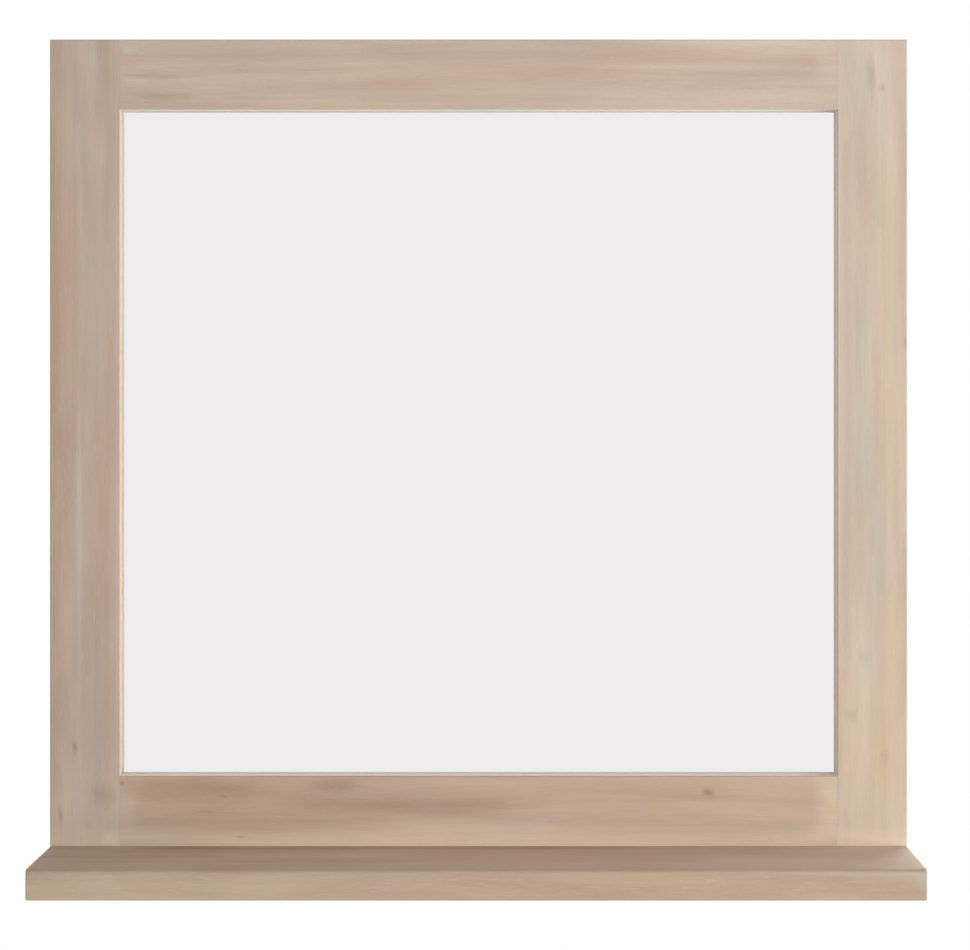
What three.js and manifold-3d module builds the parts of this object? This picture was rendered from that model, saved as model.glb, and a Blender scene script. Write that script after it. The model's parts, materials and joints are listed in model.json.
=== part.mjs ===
// Wall mirror with a shelf.
//
// Four rebated boards are joined by blind mortise-and-tenon joints into a frame, which stands on
// a plain shelf board and is held to it by screws and dowels. The glass lies in the rebate with a
// card sheet and a back panel behind it, and eight turn buttons keep the panel in. Two raised
// keyhole plates hang the frame on two wall screws, and two rubber bumpers keep its foot off the
// wall by the same amount.
//
// Millimetres. +X is to the right of a person facing the glass, +Y points into the wall, +Z is up.
// The origin is on the wall, midway between the two wall screws.

import * as THREE from "three";
import { mergeVertices } from "three/addons/utils/BufferGeometryUtils.js";
import Module from "manifold-3d";

const wasm = await Module();
wasm.setup();

// ---------------------------------------------------------------- driving dimensions

// Frame
const FRAME_WIDTH = 600;
const FRAME_HEIGHT = 564.5;
const FRAME_THICKNESS = 21;
const BOARD_WIDTH = 49;
const REBATE_WIDTH = 9;
const FRAME_ARRIS = 0.8; // along the outer edges
const SIGHT_ARRIS = 0.4; // round the sight edge

// Shelf
const SHELF_DEPTH = 120;
const SHELF_THICKNESS = 21;
const SHELF_FRONT_ROUND = 2.8; // along the top of the front edge
const SHELF_ARRIS = 1.2; // along the other long edges
const SHELF_END_ARRIS = 1; // round the two ends

// Corner joints
const TENON_THICKNESS = 7;
const TENON_END_WALL = 17; // wood left between the tenon's end and the outside of the stile
const TENON_SHOULDER = 4; // on the sight side
const HAUNCH_WIDTH = 14;
const HAUNCH_LENGTH = 8;
const HAUNCH_SETBACK = 2; // where the sloping haunch starts, below the board's outer edge
const GLUE_SPACE = 1;

// What lies in the rebate
const GLASS_THICKNESS = 4;
const GLASS_CLEARANCE = 2;
const GLASS_ARRIS = 0.5;
const CARD_THICKNESS = 2;
const PANEL_THICKNESS = 3;
const PANEL_CLEARANCE = 1.5;
const SETTING_BLOCK_LENGTH = 30;
const SETTING_BLOCK_SPREAD = 0.5; // between the two blocks, as a share of the sight opening

// Turn buttons
const BUTTON_REACH = 19.5; // from the pivot to the tip
const BUTTON_THICKNESS = 1.2;
const BUTTON_HEEL_RADIUS = 6.5;
const BUTTON_TIP_RADIUS = 4.5;
const BUTTON_ARRIS = 0.3;
const BUTTON_PIVOT_SETBACK = 9; // from the edge of the rebate
const BUTTON_PIVOT_CLEARANCE = 0.35;
const BUTTON_SPREAD = 0.5; // between the two buttons on one board, as a share of the opening
const PAN_SCREW_RADIUS = 1.75;
const PAN_HEAD_RADIUS = 3.5;
const PAN_HEAD_HEIGHT = 2.2;
const PAN_SCREW_LENGTH = 14; // under the head
const PAN_RECESS_DEPTH = 1.3;

// Keyhole plates
const WALL_STANDOFF = 5; // from the wall to the back of the frame
const HANGER_LENGTH = 52;
const HANGER_WIDTH = 18;
const HANGER_CORNER_RADIUS = 5;
const HANGER_SHEET = 1.2;
const HANGER_BOSS_LENGTH = 29;
const HANGER_BOSS_WIDTH = 16;
const HANGER_BOSS_CORNER_RADIUS = 6;
const HANGER_BOSS_ROUND = 0.8;
const HANGER_HOLE_SPACING = 42;
const HANGER_DROP = 82; // from the top of the frame to the middle of the plate
const HANGER_EDGE_DISTANCE = 20; // from the outer edge of the stile to the middle of the plate
const KEYHOLE_ENTRY_RADIUS = 5;
const KEYHOLE_SLOT_WIDTH = 5;
const KEYHOLE_TRAVEL = 12; // from the middle of the round entry to where the wall screw rests

// Bumpers
const BUMPER_RADIUS = 7;
const BUMPER_CROWN_RADIUS = 5.6;
const BUMPER_STRAIGHT_SHARE = 0.45; // how much of its height is straight, below the round rim
const BUMPER_HEIGHT_ABOVE_SHELF = 22;

// Shelf fixings
const SHELF_SCREW_RADIUS = 2.25;
const SHELF_SCREW_HEAD_RADIUS = 4.5;
const SHELF_SCREW_LENGTH = 50;
const SHELF_SCREW_SINK = 0.6; // the head lies this far above the underside
const SHELF_SCREW_RIM = 0.3; // the straight edge of the head
const SHELF_SCREW_RECESS_DEPTH = 1.8;
const RAIL_SCREW_SPREAD = 0.6; // between the two screws in the rail, as a share of the opening
const FIXING_EDGE_DISTANCE = 10.5; // from the outer edge of the stile
const FIXING_SCREW_SETBACK = 6.5; // from the back of the frame
const FIXING_DOWEL_SETBACK = 15;
const DOWEL_RADIUS = 3;
const DOWEL_CHAMFER = 0.8;
const DOWEL_IN_SHELF = 12;
const DOWEL_IN_STILE = 18;

// Clearances
const JOINT_GAP = 0.05; // between wood faces that are glued or screwed together
const SEAT_GAP = 0.25; // between a loose piece and what it lies on
const PILOT_CLEARANCE = 0.25; // round a screw or a dowel

// ---------------------------------------------------------------- derived places

const REBATE_DEPTH = GLASS_THICKNESS + CARD_THICKNESS + PANEL_THICKNESS + 3 * SEAT_GAP;
const LIP_BACK = -REBATE_DEPTH; // y of the face that the glass lies against
const FRAME_FRONT = -FRAME_THICKNESS;
const HALF_WIDTH = FRAME_WIDTH / 2;
const FRAME_FOOT = SHELF_THICKNESS + JOINT_GAP;
const FRAME_TOP = FRAME_FOOT + FRAME_HEIGHT;
const SIGHT_HALF_WIDTH = HALF_WIDTH - BOARD_WIDTH;
const SIGHT_BOTTOM = FRAME_FOOT + BOARD_WIDTH;
const SIGHT_TOP = FRAME_TOP - BOARD_WIDTH;
const REBATE_HALF_WIDTH = SIGHT_HALF_WIDTH + REBATE_WIDTH;
const REBATE_BOTTOM = SIGHT_BOTTOM - REBATE_WIDTH;
const REBATE_TOP = SIGHT_TOP + REBATE_WIDTH;
const SIGHT_MIDDLE = (SIGHT_BOTTOM + SIGHT_TOP) / 2;
const SIGHT_HALF_HEIGHT = (SIGHT_TOP - SIGHT_BOTTOM) / 2;
const TENON_BACK = LIP_BACK + JOINT_GAP; // in line with the rebate
const TENON_FRONT = TENON_BACK - TENON_THICKNESS;
const TENON_END = HALF_WIDTH - TENON_END_WALL;
const HANGER_X = HALF_WIDTH - HANGER_EDGE_DISTANCE;
const HANGER_Z = FRAME_TOP - HANGER_DROP;
const KEYHOLE_REST = KEYHOLE_TRAVEL / 2; // the keyhole is centred on its plate
const HANGER_FLANGE_TOP = JOINT_GAP + HANGER_SHEET;
const FIXING_X = HALF_WIDTH - FIXING_EDGE_DISTANCE;
const DOWEL_FOOT = SHELF_THICKNESS - DOWEL_IN_SHELF;
const DOWEL_HEAD = FRAME_FOOT + DOWEL_IN_STILE;

// x and y of the screws that come up through the shelf
const SHELF_SCREWS = {
  shelf_screw_left_stile: [-FIXING_X, -FIXING_SCREW_SETBACK],
  shelf_screw_rail_left: [-RAIL_SCREW_SPREAD * SIGHT_HALF_WIDTH, -FRAME_THICKNESS / 2],
  shelf_screw_rail_right: [RAIL_SCREW_SPREAD * SIGHT_HALF_WIDTH, -FRAME_THICKNESS / 2],
  shelf_screw_right_stile: [FIXING_X, -FIXING_SCREW_SETBACK],
};

// ---------------------------------------------------------------- materials

const finish = (color, roughness, metalness = 0) =>
  new THREE.MeshStandardMaterial({ color, roughness, metalness });

const whitewashedWood = finish("#c3ad97", 0.62);
const beech = finish("#cba878", 0.7);
const silveredGlass = finish("#eeecec", 0.03, 1);
const greyCard = finish("#a9a49b", 0.95);
const hardboard = finish("#94704b", 0.78);
const cork = finish("#b98d5d", 0.9);
const zincSteel = finish("#b8babd", 0.38, 1);
const rubber = finish("#2c2b2a", 0.85);

// ---------------------------------------------------------------- solids

// A closed geometry as a solid that can be joined and cut.
function solid(geometry) {
  const shell = geometry.index ? geometry.toNonIndexed() : geometry.clone();
  shell.deleteAttribute("normal");
  shell.deleteAttribute("uv");
  const merged = mergeVertices(shell, 1e-4);
  const corners = merged.index.array;
  const kept = [];
  for (let i = 0; i < corners.length; i += 3) {
    const [a, b, c] = corners.subarray(i, i + 3);
    if (a !== b && b !== c && c !== a) kept.push(a, b, c);
  }
  return new wasm.Manifold(
    new wasm.Mesh({
      numProp: 3,
      vertProperties: merged.attributes.position.array,
      triVerts: new Uint32Array(kept),
    }),
  );
}

// A solid back as a three.js geometry.
function geometryOf(made) {
  const { vertProperties, triVerts } = made.getMesh();
  const geometry = new THREE.BufferGeometry();
  geometry.setAttribute("position", new THREE.BufferAttribute(vertProperties, 3));
  geometry.setIndex(new THREE.BufferAttribute(triVerts, 1));
  geometry.computeVertexNormals();
  return geometry;
}

const join = (...solids) => solids.reduce((all, one) => all.add(one));
const cut = (from, ...tools) => tools.reduce((left, tool) => left.subtract(tool), from);

// A box between two corners.
function block(x0, x1, y0, y1, z0, z1) {
  const box = new THREE.BoxGeometry(Math.abs(x1 - x0), Math.abs(y1 - y0), Math.abs(z1 - z0));
  return box.translate((x0 + x1) / 2, (y0 + y1) / 2, (z0 + z1) / 2);
}

// An outline drawn in X and Z, as thick as y0 to y1.
function plate(outline, y0, y1, options = {}) {
  const depth = y1 - y0 - 2 * (options.bevelThickness ?? 0);
  const extruded = new THREE.ExtrudeGeometry(outline, { bevelEnabled: false, ...options, depth });
  return extruded.rotateX(Math.PI / 2).translate(0, y1 - (options.bevelThickness ?? 0), 0);
}

// Extrude options for an edge rounded inwards from the outline.
const arris = (radius, segments = 3) => ({
  bevelEnabled: true,
  bevelThickness: radius,
  bevelSize: radius,
  bevelOffset: -radius,
  bevelSegments: segments,
});

const polygon = (points) => new THREE.Shape(points.map(([x, z]) => new THREE.Vector2(x, z)));

function rectangle(x0, x1, z0, z1) {
  return polygon([
    [x0, z0],
    [x1, z0],
    [x1, z1],
    [x0, z1],
  ]);
}

// A rectangle centred on the origin, with round corners.
function roundedRectangle(width, height, radius) {
  const [x, z] = [width / 2 - radius, height / 2 - radius];
  const shape = new THREE.Shape();
  shape.absarc(x, z, radius, 0, Math.PI / 2);
  shape.absarc(-x, z, radius, Math.PI / 2, Math.PI);
  shape.absarc(-x, -z, radius, Math.PI, 1.5 * Math.PI);
  shape.absarc(x, -z, radius, 1.5 * Math.PI, 2 * Math.PI);
  return shape;
}

// A round bar along Y or Z, from one end to the other.
function rod(radius, along, from, to, a, b, sides = 16) {
  const bar = new THREE.CylinderGeometry(radius, radius, to - from, sides);
  const middle = (from + to) / 2;
  if (along === "y") return bar.translate(a, middle, b);
  return bar.rotateX(Math.PI / 2).translate(a, b, middle);
}

// ---------------------------------------------------------------- frame boards

// The frame's form with its worn arrises, which every board is cut to after assembly. It runs past
// the feet of the stiles, because those are sawn square.
function frameEnvelope() {
  const foot = FRAME_FOOT - BOARD_WIDTH / 2;
  const outside = plate(
    rectangle(-HALF_WIDTH, HALF_WIDTH, foot, FRAME_TOP),
    FRAME_FRONT,
    0,
    arris(FRAME_ARRIS),
  );
  const through = plate(sightRectangle(0), FRAME_FRONT - 1, 1);
  const mouth = plate(
    sightRectangle(SIGHT_ARRIS),
    FRAME_FRONT - 1,
    FRAME_FRONT + SIGHT_ARRIS,
    arris(SIGHT_ARRIS, 1),
  );
  return cut(solid(outside), solid(through), solid(mouth));
}

// The sight opening, grown by a margin all round.
function sightRectangle(margin) {
  const half = SIGHT_HALF_WIDTH + margin;
  return rectangle(-half, half, SIGHT_BOTTOM - margin, SIGHT_TOP + margin);
}

// The tenon at one end of a rail, or the mortise for it when grown by a clearance. A haunch slopes
// from the board's outer edge down to the tenon, so that it can't be seen from outside.
function tenon(side, outerEdge, sightEdge, grow = 0) {
  const up = Math.sign(outerEdge - sightEdge);
  const shoulder = side * SIGHT_HALF_WIDTH;
  const root = shoulder - side * TENON_SHOULDER; // inside the rail, so that the two join
  const end = side * (TENON_END + (grow ? GLUE_SPACE : 0));
  const haunchTop = outerEdge - up * (HAUNCH_SETBACK - grow);
  const tenonTop = outerEdge - up * (HAUNCH_WIDTH - grow);
  const tenonFoot = sightEdge + up * (TENON_SHOULDER - grow);
  const outline = polygon([
    [root, haunchTop],
    [shoulder, haunchTop],
    [shoulder + side * HAUNCH_LENGTH, tenonTop],
    [end, tenonTop],
    [end, tenonFoot],
    [root, tenonFoot],
  ]);
  return solid(plate(outline, TENON_FRONT - grow, TENON_BACK + grow));
}

// A stile is a rebated section that runs the full height, with a mortise for each rail and, in its
// foot, the holes for the shelf's screw and dowel.
function stile(side, envelope) {
  const section = polygon([
    [side * HALF_WIDTH, 0],
    [side * HALF_WIDTH, FRAME_FRONT],
    [side * SIGHT_HALF_WIDTH, FRAME_FRONT],
    [side * SIGHT_HALF_WIDTH, LIP_BACK],
    [side * REBATE_HALF_WIDTH, LIP_BACK],
    [side * REBATE_HALF_WIDTH, 0],
  ]);
  const length = new THREE.ExtrudeGeometry(section, { depth: FRAME_HEIGHT, bevelEnabled: false });
  const board = solid(length.translate(0, 0, FRAME_FOOT)).intersect(envelope);
  return cut(
    board,
    tenon(side, FRAME_TOP, SIGHT_TOP, PILOT_CLEARANCE),
    tenon(side, FRAME_FOOT, SIGHT_BOTTOM, PILOT_CLEARANCE),
    ...shelfScrewPilots((x) => side * x > SIGHT_HALF_WIDTH),
    shelfDowelHole(side),
    ...pivotPilots(side * (REBATE_HALF_WIDTH + BUTTON_PIVOT_SETBACK), "stile"),
    ...hangerPilots(side),
  );
}

// A rail has long and short shoulders: its front stops at the sight edge of the stiles, and its
// back runs on across their rebates.
function rail(outerEdge, sightEdge, envelope) {
  const up = Math.sign(outerEdge - sightEdge);
  const short = SIGHT_HALF_WIDTH - JOINT_GAP;
  const long = REBATE_HALF_WIDTH - JOINT_GAP;
  const rebateEdge = sightEdge + up * REBATE_WIDTH;
  const lip = block(-short, short, FRAME_FRONT, LIP_BACK, sightEdge, outerEdge);
  const core = block(-short, short, FRAME_FRONT, 0, rebateEdge, outerEdge);
  const back = block(-long, long, LIP_BACK + JOINT_GAP, 0, rebateEdge, outerEdge);
  const bar = join(solid(lip), solid(core), solid(back)).intersect(envelope);
  const board = join(bar, tenon(-1, outerEdge, sightEdge), tenon(1, outerEdge, sightEdge));
  const pivots = pivotPilots(rebateEdge + up * BUTTON_PIVOT_SETBACK, "rail");
  const fixings = up < 0 ? shelfScrewPilots((x) => Math.abs(x) < short) : [];
  return cut(board, ...pivots, ...fixings);
}

// ---------------------------------------------------------------- shelf

// Pilot holes for the screws whose x passes a test.
function shelfScrewPilots(wanted) {
  const top = SHELF_SCREW_SINK + SHELF_SCREW_LENGTH + GLUE_SPACE;
  return Object.values(SHELF_SCREWS)
    .filter(([x]) => wanted(x))
    .map(([x, y]) => solid(rod(SHELF_SCREW_RADIUS + PILOT_CLEARANCE, "z", -1, top, x, y)));
}

function shelfDowelHole(side) {
  const [from, to] = [DOWEL_FOOT - GLUE_SPACE, DOWEL_HEAD + GLUE_SPACE];
  const radius = DOWEL_RADIUS + PILOT_CLEARANCE;
  return solid(rod(radius, "z", from, to, side * FIXING_X, -FIXING_DOWEL_SETBACK));
}

// A corner of the shelf's section, eased by a quarter round. Quarters count from the back's top
// edge, over the front.
function easedCorner(y, z, radius, quarter) {
  const steps = radius ? 4 : 0;
  const towardsBack = quarter === 0 || quarter === 3 ? 1 : -1;
  const upwards = quarter < 2 ? 1 : -1;
  const [centreY, centreZ] = [y - towardsBack * radius, z - upwards * radius];
  return Array.from({ length: steps + 1 }, (_, i) => {
    const angle = ((quarter + (steps ? i / steps : 0)) * Math.PI) / 2;
    return [centreY + radius * Math.cos(angle), centreZ + radius * Math.sin(angle)];
  });
}

// A strip of the shelf, between two values of y, with its long edges eased by the given radii.
function shelfStrip(front, back, radii) {
  const section = polygon([
    ...easedCorner(back, SHELF_THICKNESS, radii.back, 0),
    ...easedCorner(front, SHELF_THICKNESS, radii.frontTop, 1),
    ...easedCorner(front, 0, radii.frontFoot, 2),
    ...easedCorner(back, 0, radii.back, 3),
  ]);
  const depth = FRAME_WIDTH - 2 * SHELF_END_ARRIS;
  const board = new THREE.ExtrudeGeometry(section, { ...arris(SHELF_END_ARRIS), depth });
  board.rotateY(Math.PI / 2).rotateX(Math.PI / 2);
  return solid(board.translate(SHELF_END_ARRIS - HALF_WIDTH, 0, 0));
}

// The shelf is one board as long as the frame is wide, with its back edge flush with the frame's.
// It is drawn in two strips, so that the top in front of the frame is a face of its own.
function shelf() {
  const overlap = 4 * SHELF_ARRIS;
  const board = join(
    shelfStrip(-SHELF_DEPTH, FRAME_FRONT, {
      frontTop: SHELF_FRONT_ROUND,
      frontFoot: SHELF_ARRIS,
      back: 0,
    }),
    shelfStrip(FRAME_FRONT - overlap, 0, { frontTop: 0, frontFoot: 0, back: SHELF_ARRIS }),
  );
  return cut(
    board,
    ...shelfScrewPilots(() => true),
    ...Object.values(SHELF_SCREWS).map(([x, y]) => shelfScrewCountersink(x, y)),
    shelfDowelHole(-1),
    shelfDowelHole(1),
  );
}

function shelfScrewCountersink(x, y) {
  const wide = SHELF_SCREW_HEAD_RADIUS + PILOT_CLEARANCE;
  const narrow = SHELF_SCREW_RADIUS + PILOT_CLEARANCE;
  const mouth = SHELF_SCREW_SINK + PILOT_CLEARANCE;
  const profile = [
    [0, -1],
    [wide, -1],
    [wide, mouth],
    [narrow, mouth + wide - narrow],
    [0, mouth + wide - narrow],
  ];
  return solid(turned(profile).rotateX(Math.PI / 2).translate(x, y, 0));
}

// ---------------------------------------------------------------- fasteners

// A profile of [radius, height] points, turned about the Y axis.
function turned(profile, sides = 16) {
  return new THREE.LatheGeometry(
    profile.map(([radius, height]) => new THREE.Vector2(radius, height)),
    sides,
  );
}

// The cross recess of a screw head, cut down from height 0.
function crossRecess(span, depth) {
  const blade = span / 4;
  const half = span / 2;
  return join(
    solid(block(-half, half, -depth, 1, -blade / 2, blade / 2)),
    solid(block(-blade / 2, blade / 2, -depth, 1, -half, half)),
  );
}

// A pan-head screw whose bearing face is at height 0 and whose shank points down -Y.
function panScrew() {
  const shank = PAN_SCREW_RADIUS;
  const crown = 0.4 * PAN_HEAD_RADIUS;
  const rim = 0.45 * PAN_HEAD_HEIGHT;
  const profile = [
    [0, -PAN_SCREW_LENGTH],
    [shank, -PAN_SCREW_LENGTH + 2 * shank],
    [shank, 0],
    [PAN_HEAD_RADIUS, 0],
    [PAN_HEAD_RADIUS, rim],
    [(PAN_HEAD_RADIUS + crown) / 2, 0.84 * PAN_HEAD_HEIGHT],
    [crown, PAN_HEAD_HEIGHT],
    [0, PAN_HEAD_HEIGHT],
  ];
  const recess = crossRecess(PAN_HEAD_RADIUS, PAN_RECESS_DEPTH).translate([0, PAN_HEAD_HEIGHT, 0]);
  return geometryOf(cut(solid(turned(profile, 12)), recess));
}

// A countersunk screw whose flat head is at height 0 and whose shank points down -Y.
function countersunkScrew() {
  const [shank, head] = [SHELF_SCREW_RADIUS, SHELF_SCREW_HEAD_RADIUS];
  const profile = [
    [0, -SHELF_SCREW_LENGTH],
    [shank, -SHELF_SCREW_LENGTH + 2.5 * shank],
    [shank, shank - head],
    [head, -SHELF_SCREW_RIM],
    [head, 0],
    [0, 0],
  ];
  return geometryOf(cut(solid(turned(profile)), crossRecess(head, SHELF_SCREW_RECESS_DEPTH)));
}

// Where the pivots of the two turn buttons lie along a board.
const BUTTON_PLACES = {
  stile: [-1, 1].map((end) => SIGHT_MIDDLE + end * BUTTON_SPREAD * SIGHT_HALF_HEIGHT),
  rail: [-1, 1].map((end) => end * BUTTON_SPREAD * SIGHT_HALF_WIDTH),
};

// Holes in the back of a board for the screws of its turn buttons. across is the place of the
// pivots on the board's width.
function pivotPilots(across, kind) {
  return BUTTON_PLACES[kind].map((along) => {
    const [x, z] = kind === "stile" ? [across, along] : [along, across];
    return screwPilot(x, z);
  });
}

function screwPilot(x, z) {
  const depth = PAN_SCREW_LENGTH + GLUE_SPACE;
  return solid(rod(PAN_SCREW_RADIUS + PILOT_CLEARANCE, "y", -depth, 1, x, z, 12));
}

// ---------------------------------------------------------------- turn button

// A pear-shaped tab of sheet steel with its pivot hole at the origin and its tip towards +Z.
function turnButton() {
  const [heel, tip] = [BUTTON_HEEL_RADIUS, BUTTON_TIP_RADIUS];
  const tipCentre = BUTTON_REACH - tip;
  const lean = Math.asin((heel - tip) / tipCentre); // the flanks are tangent to both round ends
  const outline = new THREE.Shape();
  outline.absarc(0, tipCentre, tip, lean, Math.PI - lean);
  outline.absarc(0, 0, heel, Math.PI - lean, 2 * Math.PI + lean);
  const hole = new THREE.Path();
  hole.absarc(0, 0, PAN_SCREW_RADIUS + BUTTON_PIVOT_CLEARANCE, 0, 2 * Math.PI, true);
  outline.holes.push(hole);
  const sheet = { ...arris(BUTTON_ARRIS, 1), curveSegments: 8 };
  return plate(outline, SEAT_GAP, SEAT_GAP + BUTTON_THICKNESS, sheet);
}

// ---------------------------------------------------------------- keyhole plate

// A flat steel flange with a raised hollow boss. The wall screw's head goes in through the round
// entry and slides up under the slot as the mirror is lowered.
function hangerPlate() {
  const flange = plate(
    roundedRectangle(HANGER_WIDTH, HANGER_LENGTH, HANGER_CORNER_RADIUS),
    JOINT_GAP,
    HANGER_FLANGE_TOP,
    { curveSegments: 6 },
  );
  const boss = plate(
    roundedRectangle(HANGER_BOSS_WIDTH, HANGER_BOSS_LENGTH, HANGER_BOSS_CORNER_RADIUS),
    JOINT_GAP,
    WALL_STANDOFF,
    { ...arris(HANGER_BOSS_ROUND, 2), curveSegments: 6 },
  );
  const hollow = plate(
    roundedRectangle(
      HANGER_BOSS_WIDTH - 2 * HANGER_SHEET,
      HANGER_BOSS_LENGTH - 2 * HANGER_SHEET,
      HANGER_BOSS_CORNER_RADIUS - HANGER_SHEET,
    ),
    JOINT_GAP - 1,
    WALL_STANDOFF - HANGER_SHEET,
    { curveSegments: 6 },
  );
  const holes = [-1, 1].map((end) =>
    solid(rod(PAN_SCREW_RADIUS + PILOT_CLEARANCE, "y", -1, 3, 0, (end * HANGER_HOLE_SPACING) / 2, 12)),
  );
  return geometryOf(cut(join(solid(flange), solid(boss)), solid(hollow), solid(keyhole()), ...holes));
}

// The keyhole's outline: a round entry below, and a slot with a round end above it.
function keyhole() {
  const [entry, slot] = [KEYHOLE_ENTRY_RADIUS, KEYHOLE_SLOT_WIDTH / 2];
  const neck = Math.asin(slot / entry);
  const outline = new THREE.Shape();
  outline.absarc(0, KEYHOLE_REST, slot, 0, Math.PI);
  outline.absarc(0, -KEYHOLE_REST, entry, Math.PI / 2 + neck, 2.5 * Math.PI - neck);
  return plate(outline, 0, WALL_STANDOFF + 1, { curveSegments: 8 });
}

function hangerPilots(side) {
  return [-1, 1].map((end) =>
    screwPilot(side * HANGER_X, HANGER_Z + (end * HANGER_HOLE_SPACING) / 2),
  );
}

// ---------------------------------------------------------------- bumper, dowel, glazing

// A stick-on rubber disc with a rounded crown, flat where it meets the wall.
function bumper() {
  const [foot, crown] = [BUMPER_RADIUS, BUMPER_CROWN_RADIUS];
  const rim = WALL_STANDOFF * BUMPER_STRAIGHT_SHARE;
  const profile = [[0, JOINT_GAP], [foot, JOINT_GAP], [foot, rim]];
  const steps = 3;
  for (let i = 1; i <= steps; i++) {
    const turn = ((i / steps) * Math.PI) / 2;
    profile.push([
      crown + (foot - crown) * Math.cos(turn),
      rim + (WALL_STANDOFF - rim) * Math.sin(turn),
    ]);
  }
  profile.push([0, WALL_STANDOFF]);
  return turned(profile, 20);
}

function dowel() {
  const [bottom, top] = [DOWEL_FOOT, DOWEL_HEAD];
  const profile = [
    [0, bottom],
    [DOWEL_RADIUS - DOWEL_CHAMFER, bottom],
    [DOWEL_RADIUS, bottom + DOWEL_CHAMFER],
    [DOWEL_RADIUS, top - DOWEL_CHAMFER],
    [DOWEL_RADIUS - DOWEL_CHAMFER, top],
    [0, top],
  ];
  return turned(profile, 12).rotateX(Math.PI / 2);
}

// A sheet in the rebate: how far it stays clear of the rebate's edges, and its two faces.
function glazingSheet(clearance, y0, y1, options = {}) {
  const half = REBATE_HALF_WIDTH - clearance;
  const outline = rectangle(-half, half, REBATE_BOTTOM + clearance, REBATE_TOP - clearance);
  return plate(outline, y0, y1, options);
}

// ---------------------------------------------------------------- assembly

const mirror = new THREE.Group();
mirror.position.set(0, -WALL_STANDOFF, -(HANGER_Z + KEYHOLE_REST));

function add(name, geometry, material, x = 0, y = 0, z = 0, turn = 0) {
  const mesh = new THREE.Mesh(geometry, material);
  mesh.name = name;
  mesh.position.set(x, y, z);
  mesh.rotation.y = turn;
  mirror.add(mesh);
}

const envelope = frameEnvelope();
add("left_stile", geometryOf(stile(-1, envelope)), whitewashedWood);
add("right_stile", geometryOf(stile(1, envelope)), whitewashedWood);
add("top_rail", geometryOf(rail(FRAME_TOP, SIGHT_TOP, envelope)), whitewashedWood);
add("bottom_rail", geometryOf(rail(FRAME_FOOT, SIGHT_BOTTOM, envelope)), whitewashedWood);
add("shelf_board", geometryOf(shelf()), whitewashedWood);

for (const [name, [x, y]] of Object.entries(SHELF_SCREWS)) {
  add(name, countersunkScrew().rotateX(-Math.PI / 2), zincSteel, x, y, SHELF_SCREW_SINK);
}
for (const [end, side] of [["left", -1], ["right", 1]]) {
  add(`shelf_dowel_${end}`, dowel(), beech, side * FIXING_X, -FIXING_DOWEL_SETBACK);
}

const glassFront = LIP_BACK + SEAT_GAP;
const cardFront = glassFront + GLASS_THICKNESS + SEAT_GAP;
const panelFront = cardFront + CARD_THICKNESS + SEAT_GAP;
add(
  "mirror_glass",
  glazingSheet(GLASS_CLEARANCE, glassFront, glassFront + GLASS_THICKNESS, arris(GLASS_ARRIS, 1)),
  silveredGlass,
);
add("card_sheet", glazingSheet(GLASS_CLEARANCE, cardFront, cardFront + CARD_THICKNESS), greyCard);
add("back_panel", glazingSheet(PANEL_CLEARANCE, panelFront, panelFront + PANEL_THICKNESS), hardboard);

for (const [end, side] of [["left", -1], ["right", 1]]) {
  const half = SETTING_BLOCK_LENGTH / 2;
  const middle = side * SETTING_BLOCK_SPREAD * SIGHT_HALF_WIDTH;
  const [floor, ceiling] = [REBATE_BOTTOM + JOINT_GAP, REBATE_BOTTOM + GLASS_CLEARANCE - JOINT_GAP];
  const pad = block(-half, half, glassFront, glassFront + GLASS_THICKNESS, floor, ceiling);
  add(`setting_block_${end}`, pad, cork, middle);
}

// Each board carries two turn buttons, whose tips point over the back panel.
const stileBoards = { left: -1, right: 1 };
const railBoards = { top: REBATE_TOP, bottom: REBATE_BOTTOM };
const headSeat = SEAT_GAP + BUTTON_THICKNESS + SEAT_GAP;

function addTurnButton(place, x, z, turn) {
  add(`turn_button_${place}`, turnButton(), zincSteel, x, 0, z, turn);
  add(`turn_button_screw_${place}`, panScrew(), zincSteel, x, headSeat, z);
}

for (const [board, side] of Object.entries(stileBoards)) {
  const x = side * (REBATE_HALF_WIDTH + BUTTON_PIVOT_SETBACK);
  const [low, high] = BUTTON_PLACES.stile;
  addTurnButton(`${board}_lower`, x, low, (-side * Math.PI) / 2);
  addTurnButton(`${board}_upper`, x, high, (-side * Math.PI) / 2);
}
for (const [board, edge] of Object.entries(railBoards)) {
  const up = board === "top" ? 1 : -1;
  const z = edge + up * BUTTON_PIVOT_SETBACK;
  const [left, right] = BUTTON_PLACES.rail;
  const turn = up > 0 ? Math.PI : 0;
  addTurnButton(`${board}_left`, left, z, turn);
  addTurnButton(`${board}_right`, right, z, turn);
}

for (const [end, side] of Object.entries(stileBoards)) {
  const x = side * HANGER_X;
  add(`hanger_plate_${end}`, hangerPlate(), zincSteel, x, 0, HANGER_Z);
  for (const [level, up] of [["lower", -1], ["upper", 1]]) {
    const z = HANGER_Z + (up * HANGER_HOLE_SPACING) / 2;
    add(`hanger_screw_${end}_${level}`, panScrew(), zincSteel, x, HANGER_FLANGE_TOP + SEAT_GAP, z);
  }
  add(`wall_bumper_${end}`, bumper(), rubber, x, 0, SHELF_THICKNESS + BUMPER_HEIGHT_ABOVE_SHELF);
}

export default mirror;
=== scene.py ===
import json
import math

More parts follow.
